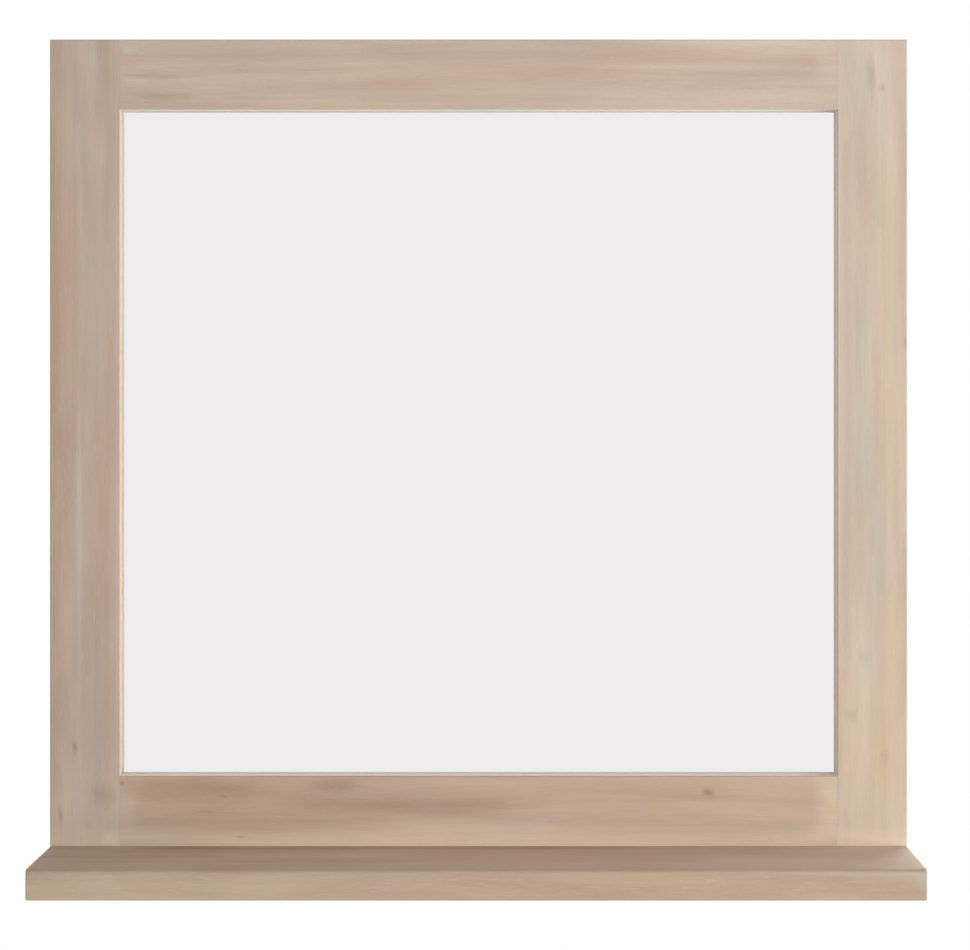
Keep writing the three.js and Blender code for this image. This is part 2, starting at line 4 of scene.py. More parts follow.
import bpy
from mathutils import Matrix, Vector

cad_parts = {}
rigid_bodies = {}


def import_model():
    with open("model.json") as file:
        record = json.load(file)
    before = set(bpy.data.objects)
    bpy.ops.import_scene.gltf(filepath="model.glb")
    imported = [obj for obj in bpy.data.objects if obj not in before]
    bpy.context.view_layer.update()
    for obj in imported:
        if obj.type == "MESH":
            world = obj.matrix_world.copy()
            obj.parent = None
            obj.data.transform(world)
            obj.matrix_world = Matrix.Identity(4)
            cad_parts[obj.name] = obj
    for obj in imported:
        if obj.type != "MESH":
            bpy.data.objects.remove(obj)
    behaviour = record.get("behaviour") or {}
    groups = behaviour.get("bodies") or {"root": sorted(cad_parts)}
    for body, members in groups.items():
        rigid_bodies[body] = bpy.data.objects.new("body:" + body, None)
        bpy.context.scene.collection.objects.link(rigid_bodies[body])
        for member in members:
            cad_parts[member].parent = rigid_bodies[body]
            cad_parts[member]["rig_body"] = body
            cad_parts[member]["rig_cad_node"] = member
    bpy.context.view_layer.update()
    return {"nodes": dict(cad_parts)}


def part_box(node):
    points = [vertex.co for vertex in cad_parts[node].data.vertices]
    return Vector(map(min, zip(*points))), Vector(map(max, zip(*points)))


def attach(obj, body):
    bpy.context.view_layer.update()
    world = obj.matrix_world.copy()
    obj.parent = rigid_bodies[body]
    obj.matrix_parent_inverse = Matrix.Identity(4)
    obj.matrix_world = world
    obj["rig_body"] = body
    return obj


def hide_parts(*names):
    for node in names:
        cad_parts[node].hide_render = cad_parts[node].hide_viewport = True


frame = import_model()
nodes = frame["nodes"]

# ------------------------------------------------------------------ sizes, in metres
# The wall is the plane y = 0, the front faces -Y, and the two wall screws are at height 0.

MM = 0.001
QUARTER = math.pi / 2
SQUARE_ON = 0.95  # a face is square to an axis that its normal follows further than this

stile_low, stile_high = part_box("right_stile")
BOARD_WIDTH = 49 * MM
FRAME_FRONT = stile_low.y
FRAME_BACK = stile_high.y
SHELF_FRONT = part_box("shelf_board")[0].y
SHELF_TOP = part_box("shelf_board")[1].z
SIGHT_HALF_WIDTH = stile_high.x - BOARD_WIDTH
SIGHT_BOTTOM = stile_low.z + BOARD_WIDTH
SIGHT_TOP = stile_high.z - BOARD_WIDTH

# The camera looks square at the mirror from a little right of its middle, above the shelf.
EYE_ASIDE = 31.1 * MM
EYE_ABOVE_SHELF = 310.1 * MM
EYE_BEFORE_FRAME = 1993 * MM
SENSOR_WIDTH = 36  # mm, as the focal length is
FOCAL_LENGTH = 105.7
VIEW_SHIFT = (-0.0392, -0.0742)  # in widths of the picture

FLOOR_MIDDLE = (0, -0.3, -1.25)
FLOOR_RADIUS = 3.2
FLOOR_SIDES = 96
FLOOR_FADE = (0.8, 3.1)  # from the middle, where the floor starts and ends its turn to white
FLOOR_LEAST_WHITE = 0.55
LIT_FROM_ALL_ROUND = 0.47
FRAME_MIDDLE = (0, 0, -0.2)

# ------------------------------------------------------------------ colours


def shade(red, green, blue):
    """A colour written as it shows, in 0 to 255, as Blender's linear values."""
    linear = []
    for part in (red, green, blue):
        part /= 255
        linear.append(part / 12.92 if part <= 0.04045 else ((part + 0.055) / 1.055) ** 2.4)
    return (*linear, 1.0)


PALE = shade(226, 211, 194)
# Painted light: a pale colour that lightens the edges inside the opening, which stand in shade.
REVEAL_LIGHT = shade(242, 234, 224)
# Painted bounce light from the shelf, laid on the boards' feet.
BOUNCE_CREAM = shade(244, 223, 198)
ROSY = shade(202, 166, 146)
HONEY = shade(210, 186, 148)
GREYED = shade(178, 170, 160)
BROWN = shade(158, 132, 110)
KNOT = shade(128, 101, 83)
# A dark brown for painted shade, and for dark patches in the wood.
SHADE_AND_DARK_WOOD = shade(132, 106, 88)
BARE_END = shade(166, 142, 118)
BARE_BACK = shade(190, 160, 128)

# ------------------------------------------------------------------ node helpers


def add_node(tree, kind, inputs=None, **settings):
    made = tree.nodes.new("ShaderNode" + kind)
    for name, value in settings.items():
        setattr(made, name, value)
    for name, value in (inputs or {}).items():
        plug(tree, made.inputs[name], value)
    return made


def plug(tree, socket, value):
    if isinstance(value, bpy.types.NodeSocket):
        tree.links.new(value, socket)
    else:
        socket.default_value = value


def maths(tree, operation, first, second=0.0):
    made = add_node(tree, "Math", operation=operation)
    plug(tree, made.inputs[0], first)
    plug(tree, made.inputs[1], second)
    return made.outputs[0]


def times(tree, first, second):
    return maths(tree, "MULTIPLY", first, second)


def vector_maths(tree, operation, first, second=(0, 0, 0)):
    made = add_node(tree, "VectorMath", operation=operation)
    plug(tree, made.inputs[0], first)
    plug(tree, made.inputs[1], second)
    return made.outputs["Value" if operation in ("LENGTH", "DOT_PRODUCT") else "Vector"]


def spread(tree, value, low, high, out_low=0.0, out_high=1.0, smooth=True):
    """value from low to high becomes out_low to out_high, and stays there beyond them."""
    kind = "SMOOTHSTEP" if smooth else "LINEAR"
    made = add_node(tree, "MapRange", {"Value": value}, interpolation_type=kind)
    for socket, setting in zip(made.inputs[1:5], (low, high, out_low, out_high)):
        plug(tree, socket, setting)
    return made.outputs[0]


def mix(tree, share, first, second):
    """The colour first, turning to second as share goes from 0 to 1."""
    made = add_node(tree, "Mix", data_type="RGBA")
    # The node's sockets for colours have the same names as those for numbers and vectors.
    for index, value in ((0, share), (6, first), (7, second)):
        plug(tree, made.inputs[index], value)
    return made.outputs[2]


def cloud(tree, vector, stretch, detail=2.0, roughness=0.5, warp=0.0):
    """Noise from about 0.25 to 0.75, with stretch cells to the metre along each axis."""
    settings = {"Scale": 1.0, "Detail": detail, "Roughness": roughness, "Distortion": warp}
    stretched = vector_maths(tree, "MULTIPLY", vector, stretch)
    return add_node(tree, "TexNoise", {"Vector": stretched, **settings}).outputs["Fac"]


def patches(tree, vector, stretch, low=0.35, high=0.65, **settings):
    """The same noise, spread so that it is 0 below low and 1 above high."""
    return spread(tree, cloud(tree, vector, stretch, **settings), low, high)


def new_group(name, inputs, outputs):
    """A shader node group, its given values and its results. inputs has each socket's value."""
    group = bpy.data.node_groups.new(name, "ShaderNodeTree")
    for title, value in inputs.items():
        kind = "NodeSocketFloat" if isinstance(value, float) else "NodeSocketVector"
        socket = group.interface.new_socket(title, in_out="INPUT", socket_type=kind)
        socket.default_value = value
    for title in outputs:
        group.interface.new_socket(title, in_out="OUTPUT", socket_type="NodeSocketFloat")
    given = group.nodes.new("NodeGroupInput").outputs
    return group, given, group.nodes.new("NodeGroupOutput").inputs


def use_group(tree, group, *values):
    """Places a group, with values for its inputs in their order, and gives its outputs."""
    made = add_node(tree, "Group", node_tree=group)
    for socket, value in zip(made.inputs, values):
        plug(tree, socket, value)
    return made.outputs


# ------------------------------------------------------------------ shared effects


def make_soft_mark():
    """A soft-edged patch round Place, Reach long each way, with a slightly ragged outline. Knot
    is the same patch with a dark heart and the rings of a branch."""
    group, given, out = new_group(
        "soft_mark",
        {"Vector": (0, 0, 0), "Place": (0, 0, 0), "Reach": (0.01, 0.01, 0.01)},
        ["Mask", "Knot"],
    )
    away = vector_maths(group, "SUBTRACT", given["Vector"], given["Place"])
    share = vector_maths(group, "DIVIDE", away, given["Reach"])
    # The outline wanders by about a quarter of Reach, and the rings are as far apart.
    distance = vector_maths(group, "LENGTH", share)
    noise = cloud(group, share, (1.3, 1.3, 1.3), detail=3.0)
    ragged = maths(group, "ADD", distance, times(group, maths(group, "SUBTRACT", noise, 0.5), 0.9))
    mask = spread(group, ragged, 1.05, 0.1)
    group.links.new(mask, out["Mask"])
    rings = maths(group, "SINE", times(group, ragged, 24.0))
    heart = spread(group, ragged, 0.42, 0.22)
    ringed = maths(group, "MAXIMUM", spread(group, rings, -1.0, 1.0, 0.55, 1.0), heart)
    group.links.new(times(group, mask, ringed), out["Knot"])
    return group


def make_wood_figure():
    """The figure of a board whose grain runs along X, with its face square to Y.

    Rings are the year rings round a pith line, Streaks the soft bands that they leave on a
    face, Fibres the fine lines along the grain, and Pores the short open vessels."""
    group, given, out = new_group(
        "wood_figure",
        {"Vector": (0, 0, 0), "Pith": (0, 0.06, 0.04), "Ring Pitch": 0.0070},
        ["Rings", "Streaks", "Fibres", "Pores"],
    )
    place = given["Vector"]
    # The rings wander a few millimetres on their way along the board.
    slow = vector_maths(group, "MULTIPLY", place, (2.2, 14, 14))
    drift = add_node(group, "TexNoise", {"Vector": slow, "Scale": 1.0, "Detail": 2.0})
    drift = vector_maths(group, "SUBTRACT", drift.outputs["Color"], (0.5, 0.5, 0.5))
    wandered = vector_maths(
        group, "ADD", place, vector_maths(group, "MULTIPLY", drift, (0, 0.016, 0.016))
    )
    from_pith = vector_maths(group, "SUBTRACT", wandered, given["Pith"])
    across = vector_maths(group, "MULTIPLY", from_pith, (0, 1, 1))
    ring = maths(group, "DIVIDE", vector_maths(group, "LENGTH", across), given["Ring Pitch"])
    # No two years are equally wide, and each year's late wood darkens slowly and ends sharply.
    uneven = cloud(group, place, (0.6, 45, 45), detail=1.0)
    step = maths(group, "FRACT", maths(group, "ADD", ring, times(group, uneven, 1.6)))
    late = maths(group, "SUBTRACT", spread(group, step, 0.0, 0.78), spread(group, step, 0.84, 1.0))
    group.links.new(late, out["Rings"])
    wide = cloud(group, wandered, (1.8, 55, 65), roughness=0.5)
    narrow = cloud(group, wandered, (7.0, 260, 320), roughness=0.6)
    streaks = maths(group, "ADD", times(group, wide, 0.86), times(group, narrow, 0.14))
    group.links.new(spread(group, streaks, 0.36, 0.64), out["Streaks"])
    fibres = patches(group, wandered, (42, 2400, 2700), 0.3, 0.7, detail=3.0, roughness=0.6)
    group.links.new(fibres, out["Fibres"])
    pores = patches(group, wandered, (110, 2600, 3000), 0.62, 0.7, detail=1.0)
    group.links.new(pores, out["Pores"])
    return group


def make_lime_wash():
    """Where the lime wash lies heavy or was dragged by the brush, and where the wood under it
    is rosy, yellow or grey."""
    group, given, out = new_group(
        "lime_wash", {"Vector": (0, 0, 0)}, ["Wash", "Brush", "Rosy", "Yellow", "Grey"]
    )
    place = given["Vector"]
    wash = patches(group, place, (9, 42, 48), 0.36, 0.68, detail=3.0, roughness=0.5, warp=0.3)
    group.links.new(wash, out["Wash"])
    brush = patches(group, place, (12, 210, 230), 0.36, 0.66, detail=2.0)
    group.links.new(brush, out["Brush"])
    for title, start, stretch in (
        ("Rosy", (3.1, 1.7, 0.4), (6, 44, 52)),
        ("Yellow", (0.9, 5.3, 2.6), (5, 40, 48)),
        ("Grey", (6.2, 0.8, 4.4), (6, 50, 60)),
    ):
        moved = vector_maths(group, "ADD", place, start)
        group.links.new(patches(group, moved, stretch, 0.46, 0.70, warp=0.2), out[title])
    return group


def make_facing():
    """How a face lies: Toward is 1 where it is square to Way, on either side, and Arris is 1 on
    the small sloping faces of worn edges."""
    group, given, out = new_group(
        "facing", {"Normal": (0, 0, 0), "Way": (1, 0, 0)}, ["Toward", "Arris"]
    )
    lean = maths(
        group, "ABSOLUTE", vector_maths(group, "DOT_PRODUCT", given["Normal"], given["Way"])
    )
    group.links.new(spread(group, lean, 0.75, 0.9), out["Toward"])
    apart = add_node(group, "SeparateXYZ", {0: vector_maths(group, "ABSOLUTE", given["Normal"])})
    largest = maths(group, "MAXIMUM", apart.outputs[0], apart.outputs[1])
    largest = maths(group, "MAXIMUM", largest, apart.outputs[2])
    group.links.new(spread(group, largest, 0.97, 0.85), out["Arris"])
    return group


def make_inside_box():
    """1 inside the box round Middle that reaches Half each way, 0 outside."""
    group, given, out = new_group(
        "inside_box", {"Vector": (0, 0, 0), "Middle": (0, 0, 0), "Half": (1, 1, 1)}, ["Mask"]
    )
    away = vector_maths(group, "SUBTRACT", given["Vector"], given["Middle"])
    share = vector_maths(group, "DIVIDE", vector_maths(group, "ABSOLUTE", away), given["Half"])
    apart = add_node(group, "SeparateXYZ", {0: share}).outputs
    inside = [maths(group, "LESS_THAN", part, 1.0) for part in apart]
    mask = times(group, times(group, inside[0], inside[1]), inside[2])
    group.links.new(mask, out["Mask"])
    return group


soft_mark = make_soft_mark()
wood_figure = make_wood_figure()
lime_wash = make_lime_wash()
facing = make_facing()
inside_box = make_inside_box()


def new_material(name):
    """A material, its tree, its shader's inputs and its texture coordinates."""
    material = bpy.data.materials.new(name)
    material.use_nodes = True
    tree = material.node_tree
    place = tree.nodes.new("ShaderNodeTexCoord").outputs
    return material, tree, tree.nodes["Principled BSDF"].inputs, place


def finish_surface(tree, shader, colour, roughness, height, relief):
    """Joins colour, roughness and height to the shader. A height of 1 is relief metres."""
    plug(tree, shader["Base Color"], colour)
    plug(tree, shader["Roughness"], roughness)
    bump = add_node(tree, "Bump", {"Height": height, "Distance": relief})
    tree.links.new(bump.outputs["Normal"], shader["Normal"])


# ------------------------------------------------------------------ limed wood

# How a board lies in the room: the turn that brings its grain along X and its face square to Y,
# and the way its grain runs.
UPRIGHT = {"turn": (0, QUARTER, 0), "way": (0, 0, 1)}
LEVEL = {"turn": (0, 0, 0), "way": (1, 0, 0)}
FLAT = {"turn": (QUARTER, 0, 0), "way": (1, 0, 0)}

MARK_DEPTH = 6 * MM  # how far a mark on a face goes into the board

# The box of the opening, just wider than it, in which the boards' edges get painted light for
# the shade they stand in.
# It starts behind the arrises of the frame's front.
SIGHT_MARGIN = 0.2 * MM
SIGHT_SETBACK = 0.6 * MM
SIGHT_MIDDLE = (
    0,
    (FRAME_FRONT + FRAME_BACK) / 2 + SIGHT_SETBACK,
    (SIGHT_BOTTOM + SIGHT_TOP) / 2,
)
SIGHT_HALF = (
    SIGHT_HALF_WIDTH + SIGHT_MARGIN,
    (FRAME_BACK - FRAME_FRONT) / 2,
    (SIGHT_TOP - SIGHT_BOTTOM) / 2 + SIGHT_MARGIN,
)

# The layers of a finish, from the wood up: the effect that shows in it, how strongly, and its
# colour. A board's marks lie between its wood and its wash.
WOOD_LAYERS = (
    ("Rosy", 0.28, ROSY), ("Yellow", 0.32, HONEY), ("Grey", 0.28, GREYED),
    ("Rings", 0.07, BROWN), ("Streaks", 0.20, BROWN),
)
WASH_LAYERS = (
    ("Wash", 0.20, PALE), ("Brush", 0.05, PALE), ("Fibres", 0.14, BROWN), ("Pores", 0.26, PALE),
)
END_LAYERS = (("Rings", 0.5, KNOT), ("Pores", 0.5, KNOT))
BACK_LAYERS = (("Rings", 0.55, BROWN), ("Streaks", 0.35, PALE), ("Fibres", 0.20, KNOT))

# How far the arrises turn to their edge colour: partly wear, partly painted shade.
ARRIS_WEAR_AND_SHADE = 0.40
END_SHOWS = 0.7  # how much of the bare wood shows through the wash on an end
BACK_SHOWS = 0.65  # and on a back
BACK_STARTS = (FRAME_BACK - 1.2 * MM, FRAME_BACK - 0.4 * MM)
WOOD_ROUGHNESS = (0.56, 0.74)
WOOD_RELIEF = 0.04 * MM
WOOD_GLOSS = 0.2


def on_frame(kind, strength, x, height, half_width, half_height):
    """A mark on the front of the frame, at a height above the shelf."""
    place = (x, FRAME_FRONT, SHELF_TOP + height)
    return kind, strength, place, (half_width, MARK_DEPTH, half_height)


def on_shelf_top(kind, strength, x, y, half_width, half_depth):
    return kind, strength, (x, y, SHELF_TOP), (half_width, half_depth, MARK_DEPTH)


def on_shelf_front(kind, strength, x, height, half_width, half_height):
    """A mark on the shelf's front edge, at a height below the top."""
    place = (x, SHELF_FRONT, SHELF_TOP - height)
    return kind, strength, place, (half_width, MARK_DEPTH, half_height)


def lay_on(tree, colour, effects, layers):
    """colour with each layer mixed over it where its effect shows."""
    for effect, strength, tint in layers:
        colour = mix(tree, times(tree, effects[effect], strength), colour, tint)
    return colour


def limed_board(name, lie, start, pith, tone, marks, edge=GREYED, reveal_lightening=0.9):
    """The finish of one board. start and pith place the figure on it, tone is the colour of its
    wood under the wash, marks are its knots, flecks and patches and some painted light and
    shade, edge is the colour given to its arrises, partly as wear and partly as painted shade,
    and reveal_lightening is how much the edges inside the opening are painted lighter, as painted
    light for the shade they stand in."""
    material, tree, shader, place = new_material(name)
    room = place["Object"]
    turned = add_node(tree, "Mapping", {"Vector": room, "Location": start, "Rotation": lie["turn"]})
    grain = turned.outputs[0]
    figure = use_group(tree, wood_figure, grain, pith)
    coat = use_group(tree, lime_wash, grain)
    effects = {socket.name: socket for socket in (*figure, *coat)}

    colour = lay_on(tree, tone, effects, WOOD_LAYERS)
    for kind, strength, middle, reach in marks:
        shape = "Knot" if kind is KNOT else "Mask"
        mask = use_group(tree, soft_mark, room, middle, reach)[shape]
        colour = mix(tree, times(tree, mask, strength), colour, kind)
    colour = lay_on(tree, colour, effects, WASH_LAYERS)

    cut = use_group(tree, facing, place["Normal"], lie["way"])
    # The arrises take the edge colour, partly as wear and partly as painted shade.
    colour = mix(tree, times(tree, cut["Arris"], ARRIS_WEAR_AND_SHADE), colour, edge)
    end = lay_on(tree, BARE_END, effects, END_LAYERS)
    colour = mix(tree, times(tree, cut["Toward"], END_SHOWS), colour, end)

    # The back was only brushed over thinly.
    behind = spread(tree, add_node(tree, "SeparateXYZ", {0: room}).outputs[1], *BACK_STARTS)
    back = lay_on(tree, BARE_BACK, effects, BACK_LAYERS)
    colour = mix(tree, times(tree, behind, BACK_SHOWS), colour, back)

    # The edges inside the opening are painted lighter: painted light for the shade they stand in.
    reveal_light_mask = use_group(tree, inside_box, room, SIGHT_MIDDLE, SIGHT_HALF)["Mask"]
    colour = mix(tree, times(tree, reveal_light_mask, reveal_lightening), colour, REVEAL_LIGHT)

    # The wash stands a little proud, and fibres and pores lie low in it.
    height = maths(tree, "ADD", times(tree, effects["Fibres"], 0.4), effects["Pores"])
    height = maths(tree, "SUBTRACT", times(tree, effects["Wash"], 0.3), height)
    dullness = maths(tree, "ADD", effects["Wash"], effects["Fibres"])
    roughness = spread(tree, dullness, 0.2, 1.6, *WOOD_ROUGHNESS)
    finish_surface(tree, shader, colour, roughness, height, WOOD_RELIEF)
    shader["Specular IOR Level"].default_value = WOOD_GLOSS
    return material


# Each mark gives its colour, how strongly it shows, the place of its middle, and how far it
# reaches each way. KNOT marks have rings. The marks are listed roughly from the top down or from
# left to right, as one faces the mirror.
left_stile_marks = [
    on_frame(BROWN, 0.36, -0.2975, 0.280, 0.0100, 0.700),  # the darker outer edge
    on_frame(PALE, 0.28, -0.2740, 0.550, 0.0110, 0.045),
    on_frame(PALE, 0.22, -0.2670, 0.485, 0.0100, 0.040),
    on_frame(PALE, 0.14, -0.2530, 0.280, 0.0060, 0.600),
    on_frame(ROSY, 0.35, -0.2850, 0.420, 0.0130, 0.070),
    on_frame(ROSY, 0.40, -0.2660, 0.260, 0.0180, 0.130),
    on_frame(BROWN, 0.36, -0.2880, 0.240, 0.0070, 0.100),
    on_frame(PALE, 0.25, -0.2796, 0.225, 0.0026, 0.120),
    on_frame(GREYED, 0.15, -0.2750, 0.080, 0.0300, 0.070),
    # Painted bounce light from the shelf lightens the foot, in the next three marks and the last.
    on_frame(PALE, 0.42, -0.2750, -0.010, 0.0550, 0.1100),  # the paler foot, painted bounce light from the shelf
    on_frame(BOUNCE_CREAM, 0.62, -0.2700, -0.002, 0.0700, 0.0200),
    on_frame(BOUNCE_CREAM, 0.15, -0.2540, 0.028, 0.0130, 0.0600),
    on_frame(KNOT, 0.50, -0.2825, 0.0687, 0.0024, 0.0080),
    on_frame(BROWN, 0.34, -0.2620, 0.0350, 0.0120, 0.0120),
    on_frame(KNOT, 0.42, -0.2927, 0.0213, 0.0024, 0.0085),
    # painted bounce light from the shelf, at the foot
    on_frame(BOUNCE_CREAM, 0.75, -0.2570, 0.0040, 0.0095, 0.0085),
]
right_stile_marks = [
    on_frame(HONEY, 0.12, 0.2910, 0.280, 0.0120, 0.600),  # the yellower outer edge
    on_frame(PALE, 0.32, 0.2780, 0.550, 0.0350, 0.100),
    on_frame(GREYED, 0.28, 0.2620, 0.540, 0.0140, 0.040),
    on_frame(BROWN, 0.32, 0.2745, 0.538, 0.0045, 0.024),
    on_frame(PALE, 0.45, 0.2780, 0.550, 0.0018, 0.018),
    on_frame(BROWN, 0.45, 0.2823, 0.5305, 0.0032, 0.0050),
    on_frame(PALE, 0.25, 0.2900, 0.465, 0.0070, 0.080),
    on_frame(HONEY, 0.26, 0.2900, 0.440, 0.0080, 0.090),
    on_frame(HONEY, 0.28, 0.2880, 0.320, 0.0120, 0.045),
    on_frame(KNOT, 0.40, 0.2985, 0.352, 0.0016, 0.0080),
    on_frame(GREYED, 0.38, 0.2720, 0.240, 0.0200, 0.130),
    on_frame(HONEY, 0.40, 0.2900, 0.145, 0.0130, 0.045),
    on_frame(HONEY, 0.42, 0.2780, 0.050, 0.0450, 0.0750),
    # Painted bounce light from the shelf lightens the foot, in this mark and the next.
    on_frame(PALE, 0.20, 0.2780, 0.000, 0.0550, 0.0800),
    on_frame(BOUNCE_CREAM, 0.60, 0.2700, -0.002, 0.0700, 0.0200),
    on_frame(GREYED, 0.50, 0.2705, 0.132, 0.0070, 0.0110),
    on_frame(BROWN, 0.32, 0.2610, 0.091, 0.0060, 0.0080),
    on_frame(BROWN, 0.25, 0.2840, 0.062, 0.0045, 0.0100),
]
top_rail_marks = [
    on_frame(ROSY, 0.50, -0.2440, 0.5480, 0.0140, 0.0060),
    on_frame(PALE, 0.30, -0.2440, 0.5570, 0.0080, 0.0060),
    on_frame(PALE, 0.25, -0.2390, 0.5350, 0.0110, 0.0050),
    on_frame(BROWN, 0.45, -0.2260, 0.5385, 0.0300, 0.0034),
    on_frame(BROWN, 0.32, -0.2200, 0.5250, 0.0300, 0.0045),
    on_frame(HONEY, 0.40, -0.1000, 0.5190, 0.1500, 0.0055),
    on_frame(GREYED, 0.35, -0.1400, 0.5450, 0.0700, 0.0090),
    on_frame(ROSY, 0.32, -0.0540, 0.5330, 0.0420, 0.0090),
    on_frame(ROSY, 0.20, 0.0900, 0.5370, 0.1000, 0.0110),
    on_frame(PALE, 0.28, 0.1500, 0.5450, 0.0950, 0.0040),
    on_frame(ROSY, 0.16, 0.2150, 0.5350, 0.0300, 0.0075),
    on_frame(PALE, 0.32, 0.1900, 0.5600, 0.1200, 0.0100),
    on_frame(PALE, 0.22, 0.2050, 0.5240, 0.0600, 0.0080),
    on_frame(GREYED, 0.20, 0.1900, 0.5350, 0.0900, 0.0200),
    on_frame(PALE, 0.25, 0.2450, 0.5450, 0.0140, 0.0200),
]
bottom_rail_marks = [
    on_frame(BROWN, 0.52, -0.1950, 0.0380, 0.0620, 0.0150),
    on_frame(HONEY, 0.25, -0.2100, 0.0350, 0.0600, 0.0140),
    on_frame(SHADE_AND_DARK_WOOD, 0.38, -0.0450, 0.0290, 0.1150, 0.0105),
    on_frame(SHADE_AND_DARK_WOOD, 0.32, -0.1000, 0.0420, 0.0240, 0.0080),
    on_frame(PALE, 0.35, -0.0100, 0.0120, 0.0950, 0.0110),
    on_frame(BOUNCE_CREAM, 0.97, 0.0000, -0.0010, 0.4500, 0.0220),  # the paler foot, painted bounce light from the shelf
    on_frame(PALE, 0.30, -0.2300, 0.0060, 0.0300, 0.0130),
    on_frame(PALE, 0.32, -0.2500, 0.0200, 0.0160, 0.0400),
    on_frame(SHADE_AND_DARK_WOOD, 0.50, 0.0000, 0.0492, 0.4000, 0.0017),  # painted shade along the sight edge
    on_frame(KNOT, 0.50, -0.2500, 0.0440, 0.0035, 0.0030),
    on_frame(KNOT, 0.38, -0.1790, 0.0350, 0.0050, 0.0018),
    on_frame(KNOT, 0.30, -0.1910, 0.0240, 0.0090, 0.0016),
    on_frame(KNOT, 0.28, -0.1665, 0.0064, 0.0055, 0.0016),
    on_frame(KNOT, 0.50, 0.1606, 0.0372, 0.0060, 0.0056),
    on_frame(HONEY, 0.30, 0.1500, 0.0060, 0.0900, 0.0120),
    on_frame(GREYED, 0.30, 0.2150, 0.0120, 0.0300, 0.0100),
    on_frame(PALE, 0.70, 0.2520, 0.0240, 0.0200, 0.0450),
    on_frame(HONEY, 0.50, 0.2520, 0.0240, 0.0200, 0.0450),
]
CONTACT_SHADOW_LINE = FRAME_FRONT - 8 * MM  # where the painted contact shadow lies on the shelf, along the foot of the rail
shelf_marks = [
    # Painted shade: the top is painted browner than the front, as it is lit less; it is also darker
    # towards the left and paler towards the right.
    on_shelf_top(BROWN, 0.34, 0.0000, -0.0750, 0.5000, 0.1200),
    on_shelf_top(BROWN, 0.45, -0.2700, -0.0750, 0.2600, 0.1000),
    on_shelf_top(HONEY, 0.30, 0.0500, -0.0750, 0.4500, 0.1200),
    on_shelf_top(PALE, 0.59, 0.3100, -0.0750, 0.1900, 0.1200),
    on_shelf_top(PALE, 0.35, 0.2900, -0.0300, 0.0500, 0.0700),
    on_shelf_top(HONEY, 0.35, 0.2800, -0.0700, 0.1400, 0.1200),
    on_shelf_top(BROWN, 0.45, -0.1200, -0.1050, 0.1100, 0.0400),
    on_shelf_top(ROSY, 0.28, 0.0900, -0.0800, 0.4600, 0.1300),
    on_shelf_top(SHADE_AND_DARK_WOOD, 0.09, 0.0600, -0.0800, 0.4600, 0.1300),
    on_shelf_top(PALE, 0.30, 0.1900, -0.1000, 0.0900, 0.0400),
    # Painted contact shadow on the shelf in front of the rail's foot.
    on_shelf_top(SHADE_AND_DARK_WOOD, 0.58, -0.2050, CONTACT_SHADOW_LINE, 0.0550, 0.0100),
    on_shelf_top(SHADE_AND_DARK_WOOD, 0.62, -0.1150, CONTACT_SHADOW_LINE, 0.1150, 0.0100),
    on_shelf_top(SHADE_AND_DARK_WOOD, 0.58, 0.0350, CONTACT_SHADOW_LINE, 0.1300, 0.0100),
    on_shelf_front(HONEY, 0.22, -0.2200, 0.0100, 0.1000, 0.0100),
    on_shelf_front(BROWN, 0.22, -0.0900, 0.0100, 0.0500, 0.0160),
    on_shelf_front(ROSY, 0.40, -0.0300, 0.0130, 0.0900, 0.0100),
    on_shelf_front(GREYED, 0.55, 0.0900, 0.0055, 0.0090, 0.0040),
    on_shelf_front(BROWN, 0.30, 0.0640, 0.0110, 0.0220, 0.0040),
    on_shelf_front(HONEY, 0.28, 0.1100, 0.0080, 0.0900, 0.0080),
    on_shelf_front(ROSY, 0.35, 0.2300, 0.0120, 0.0700, 0.0100),
    on_shelf_front(BROWN, 0.20, -0.0500, 0.0100, 0.4000, 0.0400),
    on_shelf_front(BROWN, 0.52, 0.2950, 0.0140, 0.1500, 0.0260),
    on_shelf_front(GREYED, 0.45, 0.2970, 0.0080, 0.0080, 0.0100),
]

boards = {
    # The left stile's edge in the opening faces the key lamp and gets little of the painted light.
    "left_stile": limed_board(
        "limed_left_stile", UPRIGHT, start=(0.37, 0.11, 0.23), pith=(0, 0.07, 0.10),
        tone=shade(194, 172, 155), marks=left_stile_marks, reveal_lightening=0.15,
    ),
    "right_stile": limed_board(
        "limed_right_stile", UPRIGHT, start=(1.41, 0.52, 0.83), pith=(0, -0.05, -0.12),
        tone=shade(208, 190, 172), marks=right_stile_marks,
    ),
    "top_rail": limed_board(
        "limed_top_rail", LEVEL, start=(2.13, 0.27, 0.31), pith=(0, 0.05, 0.09),
        tone=shade(206, 184, 166), marks=top_rail_marks,
    ),
    "bottom_rail": limed_board(
        "limed_bottom_rail", LEVEL, start=(3.57, 0.71, 0.19), pith=(0, 0.04, 0.07),
        tone=shade(209, 181, 159), marks=bottom_rail_marks, edge=BROWN,
    ),
    "shelf_board": limed_board(
        "limed_shelf", FLAT, start=(4.33, 0.44, 0.66), pith=(0, 0.09, 0.05),
        tone=shade(193, 167, 146), marks=shelf_marks, edge=BROWN,
    ),
}

# ------------------------------------------------------------------ mirror glass

SILVER = (0.858, 0.842, 0.842, 1)  # what the silver and the glass over it give back


def silvered_face():
    material, tree, shader, place = new_material("silvered_face")
    shader["Base Color"].default_value = SILVER
    shader["Metallic"].default_value = 1.0
    haze = cloud(tree, place["Object"], (9, 9, 9), detail=3.0)
    plug(tree, shader["Roughness"], spread(tree, haze, 0.55, 0.8, 0.0, 0.012))
    return material


